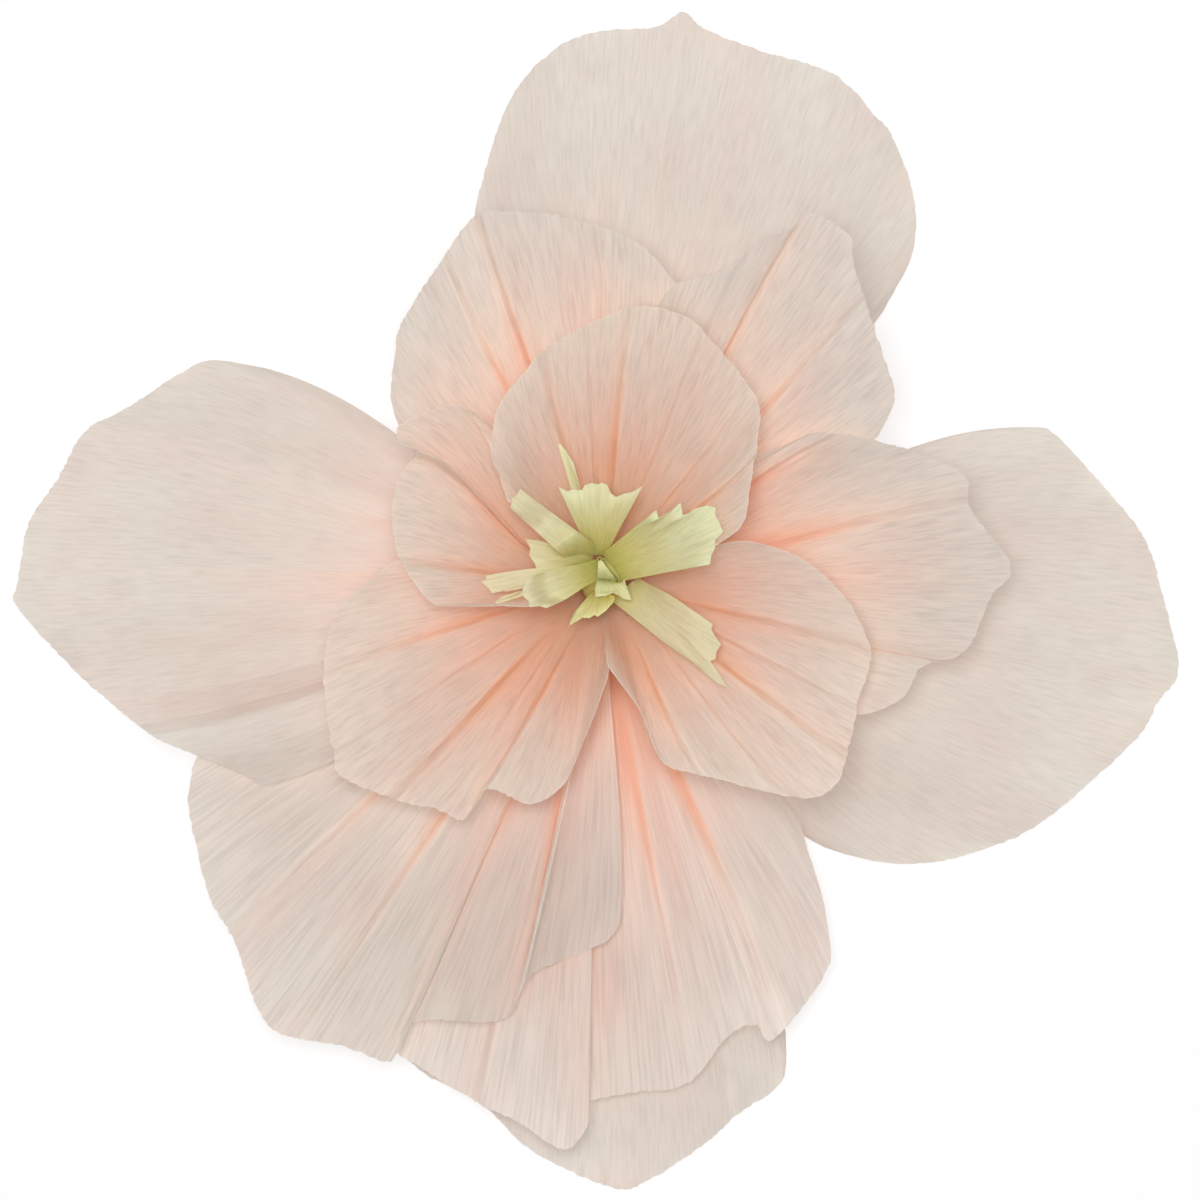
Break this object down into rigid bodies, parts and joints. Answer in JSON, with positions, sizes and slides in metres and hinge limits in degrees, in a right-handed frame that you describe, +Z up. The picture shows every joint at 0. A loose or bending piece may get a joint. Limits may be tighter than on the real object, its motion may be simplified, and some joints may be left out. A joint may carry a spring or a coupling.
{
  "type": "crepe paper peony",
  "caption": "Large blush crepe paper peony with creased, crinkled petals round a fringe of lime paper stamens, bound and taped to a flat base; lies face up.",
  "frame": {"origin": "Centre of the flat taped end under the flower.", "axes": "+Z runs up the bound neck, out of the face of the flower. +Y points to the upper petal as in the picture, +X to its right."},
  "size_m": [0.2939, 0.297, 0.0741],
  "materials": {
    "outer_petal_top_paper": "crinkled crepe",
    "outer_petal_right_paper": "crinkled crepe",
    "outer_petal_bottom_paper": "crinkled crepe",
    "outer_petal_left_paper": "crinkled crepe",
    "middle_petal_front_paper": "crinkled crepe",
    "middle_petal_fan_paper": "crinkled crepe",
    "middle_petal_upper_left_paper": "crinkled crepe",
    "middle_petal_upper_right_paper": "crinkled crepe",
    "middle_petal_right_paper": "crinkled crepe",
    "inner_petal_lower_left_paper": "crinkled crepe",
    "inner_petal_lower_right_paper": "crinkled crepe",
    "inner_petal_left_paper": "crinkled crepe",
    "inner_petal_top_paper": "crinkled crepe",
    "stamen_paper": "crinkled crepe, lime",
    "binding_wire_metal": "drawn wire",
    "tape_paper": "waxed crepe tape, pale green"
  },
  "bodies": {
    "root": {"outer_petal_top": "outer_petal_top_paper", "outer_petal_right": "outer_petal_right_paper", "outer_petal_bottom": "outer_petal_bottom_paper", "outer_petal_left": "outer_petal_left_paper", "middle_petal_front": "middle_petal_front_paper", "middle_petal_fan": "middle_petal_fan_paper", "middle_petal_upper_left": "middle_petal_upper_left_paper", "middle_petal_upper_right": "middle_petal_upper_right_paper", "middle_petal_right": "middle_petal_right_paper", "inner_petal_lower_left": "inner_petal_lower_left_paper", "inner_petal_lower_right": "inner_petal_lower_right_paper", "inner_petal_left": "inner_petal_left_paper", "inner_petal_top": "inner_petal_top_paper", "stamen_fringe": "stamen_paper", "binding_wire": "binding_wire_metal", "tape_wrap": "tape_paper"}
  },
  "joints": []
}
